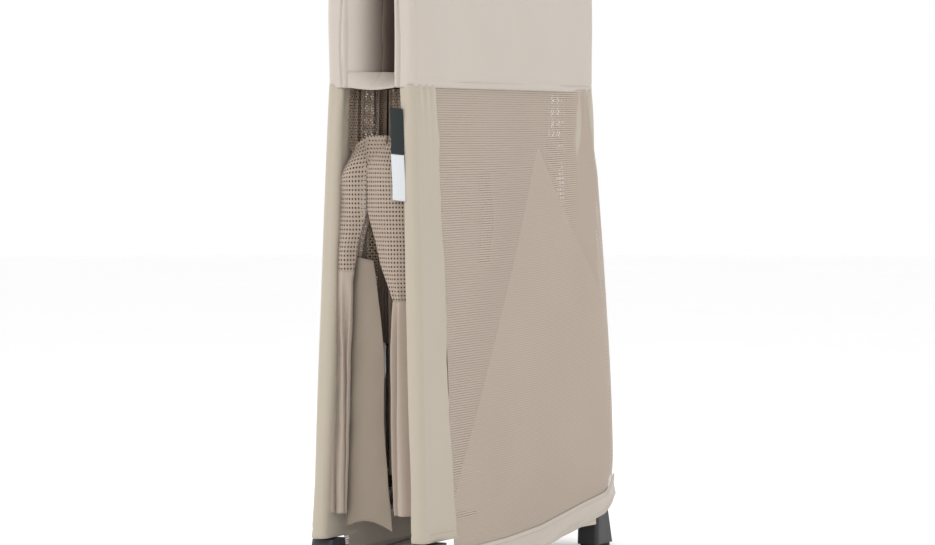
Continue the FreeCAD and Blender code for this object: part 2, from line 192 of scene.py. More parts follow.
def woven(name, colour, thread=0.0009, sheen=0.25, wrinkle=0.35):
    """A plain weave with slubs, soft patches of tone and fine creases."""
    g = Graph(name, roughness=0.88, sheen=sheen, specular=0.25)
    u, v = g.cloth_axes()
    warp = g.math("SINE", g.math("MULTIPLY", u, TAU / thread))
    weft = g.math("SINE", g.math("MULTIPLY", v, TAU / thread))
    weave = g.math("ADD", g.math("MULTIPLY", g.math("MULTIPLY", warp, weft), 0.5), 0.5)
    slub = g.noise(1.0, 4.0, (90, 1400, 1), "UV")
    patches = g.noise(9.0, 3.0)
    tone = g.math("ADD", g.math("MULTIPLY", slub, 0.45), g.math("MULTIPLY", patches, 0.55))
    base = g.blend(tone, shade(colour, 0.93), shade(colour, 1.05))
    base = g.blend(g.math("MULTIPLY", weave, 0.12), base, shade(colour, 0.72))
    creases = g.bump(g.noise(26.0, 4.0, (1, 1, 0.55)), 0.0016, wrinkle)
    threads = g.bump(weave, 0.00012, 0.5, creases)
    return g.finish(base, threads)


def pocket_cloth_painted_shade(name, light, painted_shade_colour):
    """Band cloth that darkens into brown from the far end to the near end: painted shade for the deep pocket
    between the bands.
    """
    material = woven(name, light)
    tree = material.node_tree
    shader = next(n for n in tree.nodes if n.type == "BSDF_PRINCIPLED")
    place = next(n for n in tree.nodes if n.type == "TEX_COORD")
    split = tree.nodes.new("ShaderNodeSeparateXYZ")
    tree.links.new(place.outputs["Object"], split.inputs[0])
    painted_shade_fade = tree.nodes.new("ShaderNodeMapRange")
    painted_shade_fade.interpolation_type = "SMOOTHSTEP"
    painted_shade_fade.inputs["From Min"].default_value = -0.036
    painted_shade_fade.inputs["From Max"].default_value = 0.012
    tree.links.new(split.outputs[0], painted_shade_fade.inputs["Value"])
    mix = tree.nodes.new("ShaderNodeMix")
    mix.data_type = "RGBA"
    before = shader.inputs["Base Color"].links[0].from_socket
    tree.links.new(painted_shade_fade.outputs["Result"], mix.inputs["Factor"])
    tree.links.new(before, mix.inputs[6])
    mix.inputs[7].default_value = painted_shade_colour
    tree.links.new(mix.outputs[2], shader.inputs["Base Color"])
    return material


def netting(name, colour, pitch, hole, staggered=True, square=False, sheen=0.15):
    """A knitted net: the holes are real gaps that let the light and what is behind through."""
    g = Graph(name, roughness=0.8, sheen=sheen, specular=0.3)
    u, v = g.cloth_axes()
    row = g.math("DIVIDE", v, pitch[1])
    column = g.math("DIVIDE", u, pitch[0])
    if staggered:
        odd = g.math("MULTIPLY", g.math("MODULO", g.math("ABSOLUTE", g.math("FLOOR", row)), 2.0), 0.5)
        column = g.math("ADD", column, odd)
    across = g.math("ABSOLUTE", g.math("SUBTRACT", g.math("FRACT", column), 0.5))
    along = g.math("ABSOLUTE", g.math("SUBTRACT", g.math("FRACT", row), 0.5))
    if square:
        reach = g.math("MAXIMUM", across, along)
    else:
        squares = g.math("ADD", g.math("MULTIPLY", across, across), g.math("MULTIPLY", along, along))
        reach = g.math("SQRT", squares)
    gap = g.math("LESS_THAN", reach, hole)
    tone = g.math("ADD", g.math("MULTIPLY", g.noise(7.0, 3.0), 0.6),
                  g.math("MULTIPLY", g.noise(1.0, 3.0, (120, 1100, 1), "UV"), 0.4))
    base = g.blend(tone, shade(colour, 0.9), shade(colour, 1.07))
    normal = g.bump(reach, 0.0005, 0.5, g.bump(g.noise(20.0, 3.0), 0.001, 0.2))
    material = g.finish(base, normal)
    clear = g.node("ShaderNodeBsdfTransparent")
    mix = g.node("ShaderNodeMixShader")
    g.join(gap, mix.inputs[0])
    g.join(g.shader.outputs[0], mix.inputs[1])
    g.join(clear.outputs[0], mix.inputs[2])
    g.join(mix.outputs[0], g.out.inputs[0])
    return material


def moulded(name, colour, roughness=0.5, grain=220.0, depth=0.0002, metallic=0.0, coat=0.0):
    """Moulded plastic, rubber or coated metal: fine grain, uneven gloss and rubbed patches."""
    g = Graph(name, roughness=roughness, metallic=metallic, coat=coat)
    patches = g.noise(14.0, 4.0)
    base = g.blend(patches, shade(colour, 0.8), shade(colour, 1.25))
    gloss = g.math("ADD", g.math("MULTIPLY", g.noise(30.0, 5.0), 0.25), roughness - 0.12)
    normal = g.bump(g.noise(grain * 10, 2.0), depth, 0.35)
    return g.finish(base, normal, gloss)


SAND = srgb(190, 180, 170)
SLEEVE_SAND = srgb(178, 168, 152)

BAND_CLOTH = woven("band_cloth", SAND)
# the pocket cloth darkens to brown towards the near end: painted shade standing for the depth of the pocket
POCKET_CLOTH_PAINTED_SHADE = pocket_cloth_painted_shade("pocket_cloth_painted_shade", SAND, srgb(70, 53, 45))
SLEEVE_CLOTH = woven("sleeve_cloth", SLEEVE_SAND)
SIDE_CLOTH = woven("side_cloth", srgb(168, 154, 141), wrinkle=0.5)
# a darker copy of the side cloth: painted shade for the cloth that hangs in the slit of the folded side
SHADED_SIDE_CLOTH = woven("shaded_side_cloth", srgb(140, 128, 114), wrinkle=0.5)
LINING_CLOTH = woven("lining_cloth", srgb(206, 193, 180))
MATTRESS_CLOTH = woven("mattress_cloth", srgb(150, 142, 132), thread=0.0014)
UNDER_CLOTH = woven("under_cloth", srgb(34, 40, 40), sheen=0.1)
WEBBING = woven("webbing", srgb(46, 46, 46), thread=0.0018, sheen=0.1)
END_NET = netting("end_net", srgb(181, 166, 152), (0.0034, 0.0036), 0.25)
SIDE_NET = netting("side_net", srgb(162, 146, 132), (0.0048, 0.0048), 0.22, staggered=False, square=True)
# the upper side net is coloured darker than the lower side net: painted shade for the net deep in the gap
SHADED_NET = netting("shaded_net", srgb(128, 111, 96), (0.0040, 0.0040), 0.30)
THREAD = woven("thread", srgb(176, 164, 148), thread=0.0006, sheen=0.1, wrinkle=0.0)
TAG_DARK = woven("tag_dark", srgb(38, 44, 44), thread=0.0007, sheen=0.1, wrinkle=0.1)
TAG_LIGHT = woven("tag_light", srgb(204, 207, 210), thread=0.0007, sheen=0.1, wrinkle=0.1)

SLOT_MATERIALS = {
    "black_plastic": moulded("black_plastic", srgb(40, 41, 44), 0.48),
    "rubber": moulded("rubber", srgb(34, 34, 35), 0.85, grain=90.0, depth=0.0004),
    "pin_steel": moulded("pin_steel", srgb(150, 152, 155), 0.35, metallic=1.0),
    "frame_tube": moulded("frame_tube", srgb(44, 45, 48), 0.42, grain=300.0, coat=0.15),
    "floor_board": moulded("floor_board", srgb(34, 40, 40), 0.75, grain=60.0, depth=0.0003),
    "latch_red": moulded("latch_red", srgb(196, 34, 30), 0.4, coat=0.2),
}


def plain_finish():
    """Gives every CAD node the material of its slot."""
    words = (("foot_pads", "rubber"), ("pins", "pin_steel"), ("pivot_tube", "frame_tube"),
             ("board", "floor_board"), ("latch_button", "latch_red"), ("_leg_", "frame_tube"),
             ("top_tube", "frame_tube"), ("crossbar", "frame_tube"), ("rail_tube", "frame_tube"))
    for name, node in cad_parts.items():
        kind = next((slot for word, slot in words if word in name), "black_plastic")
        node.data.materials.clear()
        node.data.materials.append(SLOT_MATERIALS[kind])


# ---------------------------------------------------------------- mesh helpers

def lengths(points, axis):
    """The distance walked along each line of a grid of points."""
    steps = np.linalg.norm(np.diff(points, axis=axis), axis=-1)
    shape = list(steps.shape)
    shape[axis] = 1
    return np.concatenate([np.zeros(shape), np.cumsum(steps, axis=axis)], axis=axis)


def surface(name, points, material, closed=False, thick=0.0, flip=False):
    """A smooth mesh over a grid of points, with UVs in metres along the cloth."""
    points = np.asarray(points, float)
    if closed:
        points = np.concatenate([points, points[:, :1]], axis=1)
    rows, columns = points.shape[:2]
    u = lengths(points, 1)
    v = np.broadcast_to(lengths(points, 0).mean(axis=1, keepdims=True), (rows, columns))
    count = columns - 1 if closed else columns
    index = np.arange(rows * count).reshape(rows, count)
    ring = np.concatenate([index, index[:, :1]], axis=1) if closed else index
    quads = np.stack([ring[:-1, :-1], ring[:-1, 1:], ring[1:, 1:], ring[1:, :-1]], -1).reshape(-1, 4)
    corners = [(i, j) for i in range(rows - 1) for j in range(columns - 1)]
    faces = quads.tolist()
    uvs = []
    for i, j in corners:
        uvs += [(u[i, j], v[i, j]), (u[i, j + 1], v[i, j + 1]),
                (u[i + 1, j + 1], v[i + 1, j + 1]), (u[i + 1, j], v[i + 1, j])]
    if flip:
        faces = [f[::-1] for f in faces]
        uvs = [c for k in range(0, len(uvs), 4) for c in uvs[k:k + 4][::-1]]
    mesh = bpy.data.meshes.new(name)
    mesh.from_pydata(points[:, :count].reshape(-1, 3).tolist(), [], faces)
    layer = mesh.uv_layers.new(name="UVMap")
    layer.data.foreach_set("uv", np.array(uvs, np.float32).ravel())
    mesh.polygons.foreach_set("use_smooth", [True] * len(mesh.polygons))
    mesh.update()
    obj = bpy.data.objects.new(name, mesh)
    bpy.context.scene.collection.objects.link(obj)
    obj.data.materials.append(material)
    if thick:
        solid = obj.modifiers.new("thickness", "SOLIDIFY")
        solid.thickness = thick
        solid.offset = 0.0
    return obj


def rounded_loop(half_a, half_b, radius, count):
    """Evenly spaced points round a rectangle with round corners, as (a, b) pairs, counterclockwise."""
    line = []
    for k, (ca, cb) in enumerate(((1, 1), (-1, 1), (-1, -1), (1, -1))):
        turn = np.linspace(k, k + 1, 12) * math.pi / 2
        line.append(np.stack([ca * (half_a - radius) + radius * np.cos(turn),
                              cb * (half_b - radius) + radius * np.sin(turn)], -1))
    line = np.concatenate(line)
    line = np.concatenate([line, line[:1]])
    along = np.concatenate([[0], np.cumsum(np.linalg.norm(np.diff(line, axis=0), axis=1))])
    at = np.linspace(0, along[-1], count, endpoint=False)
    return np.stack([np.interp(at, along, line[:, k]) for k in range(2)], -1), at


def ripple(a, b, seed, waves=7, long=0.30, short=0.05):
    """A smooth seeded wave field of about unit height over two lengths in metres."""
    rng = np.random.default_rng(seed)
    total = 0.0
    for _ in range(waves):
        length = rng.uniform(short, long)
        angle, phase = rng.uniform(0, TAU), rng.uniform(0, TAU)
        total = total + np.sin(TAU * (a * math.cos(angle) + b * math.sin(angle)) / length + phase)
    return total / math.sqrt(waves)


def stitches(name, path, body, step=0.0042, size=0.0026, wide=0.00045):
    """A row of small thread stitches along a line of points."""
    path = np.asarray(path, float)
    along = np.concatenate([[0], np.cumsum(np.linalg.norm(np.diff(path, axis=0), axis=1))])
    at = np.arange(step / 2, along[-1] - step / 2, step)
    centre = np.stack([np.interp(at, along, path[:, k]) for k in range(3)], -1)
    ahead = np.stack([np.interp(at + step / 4, along, path[:, k]) for k in range(3)], -1) - centre
    ahead /= np.linalg.norm(ahead, axis=1, keepdims=True)
    side = np.cross(ahead, [0.0, 0.0, 1.0])
    weak = np.linalg.norm(side, axis=1) < 0.3
    side[weak] = np.cross(ahead[weak], [0.0, 1.0, 0.0])
    side /= np.linalg.norm(side, axis=1, keepdims=True)
    up = np.cross(side, ahead)
    points, faces = [], []
    for c, d, e, f in zip(centre, ahead, side, up):
        k = len(points)
        points += [c - d * size / 2, c + e * wide, c + f * wide, c - e * wide, c - f * wide, c + d * size / 2]
        for m in range(4):
            n = (m + 1) % 4
            faces += [(k, k + 1 + n, k + 1 + m), (k + 5, k + 1 + m, k + 1 + n)]
    mesh = bpy.data.meshes.new(name)
    mesh.from_pydata([tuple(p) for p in points], [], faces)
    mesh.uv_layers.new(name="UVMap")
    mesh.polygons.foreach_set("use_smooth", [True] * len(mesh.polygons))
    obj = bpy.data.objects.new(name, mesh)
    bpy.context.scene.collection.objects.link(obj)
    obj.data.materials.append(THREAD)
    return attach(obj, body)


# ---------------------------------------------------------------- covers of the ends

def build_band(end, sx):
    """The deep padded band over the top of an end, sewn along its side faces and hemmed below."""
    half_depth = (BAND_OUTER_X - BAND_INNER_X) / 2
    centre_x = (BAND_OUTER_X + BAND_INNER_X) / 2
    corner, roll, crown_height = 0.012, 0.014, 0.0022
    loop, at = rounded_loop(END_HALF, half_depth, corner, 1000)
    height = BAND_TOP - BAND_BOTTOM
    stations = [(0.016, -0.0040), (0.006, -0.0036), (0.0012, -0.0026), (0.0, -0.0012)]
    stations += [(h, 0.0) for h in np.linspace(0.002, height - roll, 46)]
    stations += [(height - roll + roll * math.sin(a), -roll * (1 - math.cos(a)))
                 for a in np.linspace(0.15, math.pi / 2, 9)]
    stations.append((height - 0.0004, -0.0175))
    rows = []
    a, b = loop[:, 0], loop[:, 1]
    for h, inset in stations:
        inside = inset < 0 and h < 0.02
        scale_a = (END_HALF + inset) / END_HALF
        scale_b = (half_depth + inset) / half_depth
        crown = 0.0 if inside else crown_height * math.sin(math.pi * min(1, max(0, h / height))) ** 0.7
        ya, xb = a * scale_a, b * scale_b
        face = ease(share(np.abs(b), half_depth * 0.6, half_depth))
        side = 1 - face
        push = crown * (face * (1 - (a / END_HALF) ** 6) + 0.5 * side)
        if not inside:
            push = push + 0.0007 * ripple(at, np.full_like(at, h), 11 + (sx > 0), long=0.4, short=0.10)
            seam_b = -half_depth + corner + 0.0015 * math.sin(h * 30)
            push = push - 0.0026 * np.exp(-((b - seam_b) / 0.0014) ** 2) * side  # the seam's groove
            push = push - 0.0006 * math.exp(-((h - 0.013) / 0.0012) ** 2)  # the line of the hem
            push = push + 0.0020 * np.exp(-((b + half_depth - 0.006) / 0.004) ** 2) * side  # the piped edge
        ya = ya + np.sign(a) * push * side
        xb = xb + np.sign(b) * push * face
        rows.append(np.stack([sx * (centre_x + xb), ya, np.full_like(ya, BAND_BOTTOM + h)], -1))
    points = np.array(rows)
    band = surface(f"{end}_band", points, BAND_CLOTH, closed=True, flip=sx < 0)
    top = points[-1]
    to_middle = (np.array([sx * centre_x, 0, 0]) - top * [1, 0, 0]) * [1, 0, 0]
    fold = np.stack([top, top * [1, 0.985, 1] + to_middle])
    fold[1, :, 2] = points[-1, 0, 2]
    lid = surface(f"{end}_band_top", fold, BAND_CLOTH, closed=True, flip=sx < 0)
    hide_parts(f"{end}_top_band")
    for piece in (band, lid):
        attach(piece, f"{end}_end")
    for sy, word in ((-1, "left"), (1, "right")):
        zs = np.linspace(BAND_BOTTOM + 0.004, BAND_TOP - 0.016, 60)
        x = sx * (centre_x - half_depth + 0.0095)
        path = np.stack([np.full_like(zs, x), np.full_like(zs, sy * (END_HALF + 0.0016)), zs], -1)
        stitches(f"{end}_band_seam_{word}", path, f"{end}_end")
    ys = np.linspace(-END_HALF + 0.02, END_HALF - 0.02, 120)
    outside_x = sx * (BAND_OUTER_X + 0.0006)
    path = np.stack([np.full_like(ys, outside_x), ys, np.full_like(ys, BAND_BOTTOM + 0.010)], -1)
    stitches(f"{end}_band_hem_stitch", path, f"{end}_end")


def build_sleeve(end, side, sx, sy):
    """The cloth sleeve of a leg: round at the outer edge, with a seam towards the net and a stitched hem."""
    top, corner, hem = BAND_BOTTOM + 0.004, 0.0105, 0.014
    inside = [(0.030, -0.0016), (0.012, -0.0015), (0.002, -0.0012), (0.0003, -0.0004)]
    stations = [(SLEEVE_BOTTOM + h, inset) for h, inset in inside]
    stations += [(z, 0.0) for z in np.linspace(SLEEVE_BOTTOM + 0.001, top, 110)]
    seed = 20 + 2 * (sx > 0) + (sy > 0)
    upper_kink, lower_kink = 0.712, 0.668
    rows = []
    for z, inset in stations:
        outer, width = float(sleeve_outer(z)), float(sleeve_width(z))
        loop, at = rounded_loop(width / 2 + inset, SLEEVE_HALF_DEPTH + inset, corner, 120)
        loop = np.roll(loop, len(loop) // 2, axis=0)
        a, b = loop[:, 0], loop[:, 1]
        below_top = BAND_BOTTOM - z
        push = 0.0008 * ripple(at, np.full_like(at, z), seed, long=0.5, short=0.07)
        gathers = 0.0013 * math.exp(-max(0, below_top) / 0.03) * np.sin(TAU * at / 0.021 + 3 * z * 10)
        push = push + gathers
        push = push + 0.0014 * ease(1 - (z - SLEEVE_BOTTOM) / 0.10) * (inset == 0)  # a slight flare
        push = push - 0.0006 * math.exp(-((z - SLEEVE_BOTTOM - hem) / 0.0013) ** 2)  # the line of the hem
        inner = ease(share(-a, width / 2 - 0.016, width / 2))
        kink = 0.0042 * math.exp(-((z - lower_kink) / 0.020) ** 2)
        kink -= 0.0030 * math.exp(-((z - upper_kink) / 0.022) ** 2)
        kink += 0.0010 * math.sin(z * 61 + seed) + 0.0007 * math.sin(z * 143)
        lip = 0.0012 * np.exp(-((-a - width / 2 + 0.005) / 0.003) ** 2) * (b > 0)
        y = sy * (outer - width / 2 + a + np.sign(a) * push * (np.abs(a) > width * 0.3) - inner * kink)
        x = leg_x(z) + b + np.sign(b) * (push * (np.abs(b) > SLEEVE_HALF_DEPTH * 0.6) + lip)
        rows.append(np.stack([sx * x, y, np.full_like(y, z)], -1))
    points = np.array(rows)
    points = np.concatenate([points, points[:, :1]], axis=1)  # sewn together at the edge towards the net
    sleeve = surface(f"{end}_leg_sleeve_{side}", points, SLEEVE_CLOTH, flip=sx * sy < 0)
    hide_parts(f"{end}_sleeve_{side}")
    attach(sleeve, f"{end}_end")
    outer, width = float(sleeve_outer(0.08)), float(sleeve_width(0.08))
    ys = np.linspace(outer - 0.012, outer - width + 0.008, 60)
    z = SLEEVE_BOTTOM + hem - 0.001
    path = np.stack([np.full_like(ys, sx * (leg_x(z) + SLEEVE_HALF_DEPTH + 0.0022)), sy * ys,
                     np.full_like(ys, z)], -1)
    stitches(f"{end}_sleeve_hem_stitch_{side}", path, f"{end}_end")


NET_SLACK = 0.021  # how far the slack net of an end bulges outward
NET_OFF_AXIS = 0.0105  # how far outside the legs' axes the net hangs


def hem_line(y):
    """Height of the net's lower edge across an end: it sags on one side."""
    return np.interp(y, [-0.24, -0.06, 0.06, 0.20, 0.29, 0.335], [0.046, 0.050, 0.058, 0.078, 0.092, 0.120])


def panel_x(y, z):
    """How far out the slack net of an end stands."""
    low = ease(share(z, BAND_BOTTOM, 0.20)) * (0.35 + 0.65 * ease(share(z, 0.06, 0.16)))
    across = ease(share(y, -0.235, 0.02)) * (0.55 + 0.45 * ease(share(y, 0.0, 0.25)))
    fall = 1 - 0.55 * ease(share(y, 0.30, 0.338))
    slack = NET_SLACK * low * across * fall
    small = 0.0012 * ripple(y, z, 41, long=0.5, short=0.14) * ease(share(BAND_BOTTOM - z, 0, 0.04))
    return leg_x(z) + NET_OFF_AXIS + 0.0045 * ease(share(y, 0.2, 0.29)) + slack + small


def panel_edges(z):
    """The left and right edges of the net of an end at a height."""
    left = -(sleeve_outer(z) - sleeve_width(z)) - 0.004
    right = np.interp(z, [0.06, 0.30, 0.62, 0.752], [0.329, 0.328, 0.320, 0.292])
    return left, right


def build_panel(end, sx):
    """The slack net of an end, its solid hem, and the cloth behind it that shows through."""
    columns, rows = 150, 150
    q = np.linspace(0, 1, columns)
    grid = []
    for t in np.linspace(0, 1, rows):
        y = np.linspace(-0.24, 0.33, columns)
        for _ in range(3):
            z = BAND_BOTTOM + 0.003 + (hem_line(y) - BAND_BOTTOM - 0.003) * (1 - t)
            left, right = panel_edges(z)
            y = left + (right - left) * q
        grid.append(np.stack([sx * panel_x(y, z), y, z], -1))
    grid = np.array(grid)
    wrap = grid[:, -1:].copy()  # the net turns inward round the leg on this side
    tail = []
    for inward, out in ((0.010, 0.004), (0.022, 0.0035)):
        step = wrap.copy()
        step[..., 0] -= sx * inward
        step[..., 1] += out * ease(share(BAND_BOTTOM - step[..., 2], 0.0, 0.15))
        tail.append(step)
    grid = np.concatenate([grid] + tail, axis=1)
    net = surface(f"{end}_net", grid, END_NET)
    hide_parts(f"{end}_mesh_panel")
    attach(net, f"{end}_end")
    y = np.linspace(-0.235, 0.336, 160)
    edge = hem_line(y)
    strip = []
    for t, dx in ((0.0, 0.0006), (0.03, 0.0018), (0.25, 0.002), (0.5, 0.0012), (0.75, 0.0018), (0.97, 0.002),
                  (1.0, 0.0), (0.9, -0.003), (0.6, -0.004)):
        z = edge - t * (0.034 + 0.004 * np.sin(y * 9))
        fold = 0.0016 * np.sin(y * 46 + 5 * t) * t + 0.003 * ripple(y, z, 51, long=0.2, short=0.06) * t * 0.5
        strip.append(np.stack([sx * (panel_x(y, edge) + dx + fold), y, z], -1))
    strip = np.array(strip)[::-1]
    hem = surface(f"{end}_net_hem", strip, BAND_CLOTH, thick=CLOTH_THICK)
    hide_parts(f"{end}_hem")
    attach(hem, f"{end}_end")
    for low in (0.006, 0.028):
        path = np.stack([sx * (panel_x(y, edge) + 0.0032), y, edge - low], -1)
        stitches(f"{end}_hem_stitch_{round(low * 1000)}", path, f"{end}_end")
    build_lining(end, sx)


def build_lining(end, sx):
    """The solid gore inside an end, seen through the net as a lighter triangle."""
    foot, apex, behind = 0.040, 0.662, 0.0042
    rows = []
    for z in np.linspace(foot, apex, 80):
        left = np.interp(z, [foot, 0.118, 0.17, 0.657, apex], [-0.226, -0.222, -0.192, 0.110, 0.116])
        right = np.interp(z, [0.118, 0.30, 0.405, 0.657, apex], [0.322, 0.322, 0.316, 0.121, 0.117])
        y = np.linspace(left, right, 70)
        rows.append(np.stack([sx * (panel_x(y, np.full_like(y, z)) - behind), y, np.full_like(y, z)], -1))
    grid = np.array(rows)
    lining = surface(f"{end}_lining", grid, LINING_CLOTH)
    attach(lining, f"{end}_end")


# ---------------------------------------------------------------- side cloth in the gap

SKIRT = {"near": 0.280, "far": 0.325}  # height of the solid cloth along the foot of a side
LOWER_REACH = 0.53  # how far the lower cloth reaches from the pivots of the floor
UPPER_REACH = 0.70  # how far the upper net reaches from the pivots of the rails
UPPER_START = 0.114  # where the upper net comes out from under the band, from the same pivots
FRONT = 0.35  # share of a row of the lower cloth that is its flat front face


def inverse_ease(w):
    """The t for which t * t * (3 - 2 * t) is w."""
    return 0.5 - np.sin(np.arcsin(1 - 2 * np.clip(w, 0, 1)) / 3)


def build_pocket(end, side, sx, sy):
    """The part of the top band that folds inward between the two ends, with its slanted lower ledge."""
    p = np.linspace(0, 1, 40)
    rows = []
    far_depth, near_depth = 0.036, 0.024
    stations = [(0.0005, 0.0), (0.004, 0.10), (0.012, 0.45), (0.019, 0.86), (0.024, 1.0)]
    stations += [(h, 1.0) for h in np.linspace(0.030, 0.155, 30)] + [(0.164, 0.9), (0.173, 0.7)]
    for h, deep in stations:
        x = (BAND_INNER_X + (0.0035 if sx < 0 else -0.0008)) * (1 - p) ** 1.15
        full = far_depth * p ** 1.25 if sx < 0 else far_depth + near_depth * ease((1 - p) / 0.8)
        depth = full * deep + (0.004 * p if sx < 0 else 0.004 + 0.003 * (1 - p)) * (1 - deep)
        sag = 0.0012 * ripple(x, np.full_like(x, h), 61 + (sx > 0), long=0.12, short=0.04) * p
        y = END_HALF - 0.0035 - depth - sag
        z = BAND_BOTTOM + h - 0.0035 * np.sin(math.pi * p / 2) * (h < 0.02)
        rows.append(np.stack([sx * x, sy * y, z], -1))
    # the pocket part takes the band cloth with painted shade towards the near end
    for part, first, last, material in (("ledge", 0, 5, BAND_CLOTH), ("pocket", 4, len(rows), POCKET_CLOTH_PAINTED_SHADE)):
        grid = np.array(rows[first:last])
        piece = surface(f"{end}_{side}_{part}", grid, material, thick=CLOTH_THICK, flip=sx * sy > 0)
        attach(piece, f"{end}_end")
    return piece


def polar_cloth(name, rows, sx, sy, y_leg, y_in, material, thick=0.0):
    """A folded sheet from rows of (x, w, z, out): w says where a point lies between y_leg and y_in across the
    fold.
    """
    grid = np.array([np.stack([sx * x, sy * (y_leg + (y_in - y_leg) * inverse_ease(w)) + sy * out, z], -1)
                     for x, w, z, out in rows])
    obj = surface(name, grid, material, thick=thick, flip=sx * sy > 0)
    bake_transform(obj)


def front_edge(z, sx):
    """How near the middle plane the front of a folded side stands at a height."""
    if sx > 0:
        return float(np.interp(z, [0.06, 0.12, 0.36, 0.43, 0.485, 0.565, 0.60, 0.70],
                               [0.040, 0.034, 0.031, 0.036, 0.013, -0.009, -0.011, -0.011]))
    return float(np.interp(z, [0.06, 0.12, 0.36, 0.46, 0.52, 0.565, 0.60, 0.70],
                           [0.050, 0.047, 0.040, 0.036, 0.026, 0.011, 0.011, 0.011]))


def fold_row(z, q, sx, lift):
    """x and outward shift along one row: a front face beside the leg, then a pleated return into the gap."""
    bulge_out, pleat_depth, pleat_count, widest = 0.010, 0.011, 3, 0.052
    near_leg = leg_x(z) - 0.010
    edge = front_edge(z, sx)
    front = q <= FRONT
    s = np.where(front, q / FRONT, (q - FRONT) / (1 - FRONT))
    bulge = bulge_out * np.sin(math.pi * np.minimum(s, 1)) * front * lift
    x_front = near_leg + (edge - near_leg) * s
    inner = max(edge, 0.010)
    pleats = pleat_depth * ease(s / 0.25) * (1 - s) * (1 - np.cos(TAU * pleat_count * s)) / 2
    x_back = edge + (inner - edge) * ease(s / 0.2) + pleats
    x_back = np.minimum(x_back, widest)
    return np.where(front, x_front, x_back), bulge


def build_lower_fan(end, side, sx, sy):
    """The lower side cloth: net above, solid skirt below, hung between the leg and the folded floor."""
    q = np.concatenate([np.linspace(0, FRONT, 36), np.linspace(FRONT + 0.01, 1, 70)])
    w = np.where(q <= FRONT, 0.0, (q - FRONT) / (1 - FRONT)) ** 1.6
    turn = w * math.pi / 2
    limit = np.minimum(LOWER_REACH, HALF / np.maximum(np.sin(turn), 1e-6))
    skirt = np.minimum(SKIRT[end] / np.maximum(np.cos(turn), 1e-6), limit)
    y_leg, y_in = 0.316, 0.240
    below_pivot, crown_drop, loose_wave = 0.045, 0.030, 0.0045
    parts = (("net", skirt, limit, SIDE_NET, 70, 0.0),
             ("skirt", np.full_like(q, -below_pivot), skirt, SIDE_CLOTH, 80, 0.001))
    for part, low, high, material, count, thick in parts:
        rows = []
        for t in np.linspace(0, 1, count):
            r = low + (high - low) * t
            z = BASE_Z + r
            x = np.zeros_like(q)
            out = np.zeros_like(q)
            for k in range(len(q)):
                lift = float(ease(share(z[k], 0.30, 0.50)))
                xk, ok = fold_row(z[k], q[k:k + 1], sx, lift)
                x[k], out[k] = xk[0], ok[0]
            crown = ease(share(z, 0.60, 0.685))
            face = q / FRONT
            loose = ease(share(z, 0.50, 0.36)) * (q <= FRONT)
            out = out + loose_wave * loose * np.sin(TAU * 1.9 * face + 1.5 * z / 0.3)
            x = x - 0.0030 * loose * np.sin(math.pi * face) * np.sin(TAU * 1.4 * face + 3.0 * z / 0.3)
            out = out - crown_drop * crown ** 2 * (q <= FRONT)
            z = z - crown_drop * crown * np.where(q <= FRONT, (1 - face) ** 2, 0) * (1 if sx < 0 else 0.15)
            out = out + 0.0010 * ripple(q * 0.3, z, 71 + (sx > 0) * 2, long=0.20, short=0.05)
            rows.append((x, w, z, out))
        polar_cloth(f"{end}_{side}_lower_{part}", rows, sx, sy, y_leg, y_in, material, thick)


def build_upper_fan(end, side, sx, sy):
    """The upper side net: gathered under the band and hung between the leg and the folded rail."""
    q = np.linspace(0, 1, 120)
    w = q ** 1.4
    turn = w * math.pi / 2
    limit = np.minimum(UPPER_REACH, HALF / np.maximum(np.sin(turn), 1e-6))
    y_leg, y_in = 0.300, 0.266
    narrow, middle, pleat_count = 0.021, 0.0015, 7
    rows = []
    for t in np.linspace(0, 1, 110):
        r = UPPER_START + (limit - UPPER_START) * t
        z = PIN_Z - r
        high = ease(share(z, 0.62, 0.68))
        wide = narrow + (leg_x(z) - 0.012 - narrow) * high
        pleats = 0.0028 * np.sin(TAU * pleat_count * q + 2.0 * np.sin(r * 9)) * (0.4 + high)
        x = middle + (wide - middle) * (1 - q) + pleats
        x = np.clip(x, 0.0012, 0.056)
        out = 0.004 * high * np.sin(TAU * 5 * q + 9 * r) - 0.002
        rows.append((x, w, z, out))
    # the upper net takes the darker net colour, which is painted shade
    polar_cloth(f"{end}_{side}_upper_net", rows, sx, sy, y_leg, y_in, SHADED_NET)


def build_inner_panel(side, sy):
    """The inner layer of the folded side that shows in the slit, with a hem at its top."""
    low, high, hem, outward = 0.085, 0.497, 0.489, 0.303
    rows = []
    for z in np.linspace(low, high, 90):
        left = np.interp(z, [low, 0.36, high], [-0.052, -0.046, -0.040])
        right = np.interp(z, [low, 0.15, 0.25, 0.36, 0.42, high],
                          [0.026, 0.020, 0.012, 0.013, 0.006, -0.006])
        x = np.linspace(left, right, 40)
        s = np.linspace(0, 1, 40)
        y = outward + 0.004 * np.sin(math.pi * s) + 0.0012 * ripple(x, z, 81, long=0.25, short=0.03)
        y = y + 0.0010 * math.exp(-((z - hem) / 0.002) ** 2)
        z_row = z - 0.006 * s + 0.012 * math.exp(-((z - low) / 0.03) ** 2) * np.sin(math.pi * s)
        rows.append(np.stack([x, sy * y, z_row], -1))
    grid = np.array(rows)
    # the panel's cloth is the side cloth darkened as painted shade
    panel = surface(f"{side}_inner_panel", grid, SHADED_SIDE_CLOTH, thick=CLOTH_THICK, flip=sy > 0)
    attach(panel, "far_end")


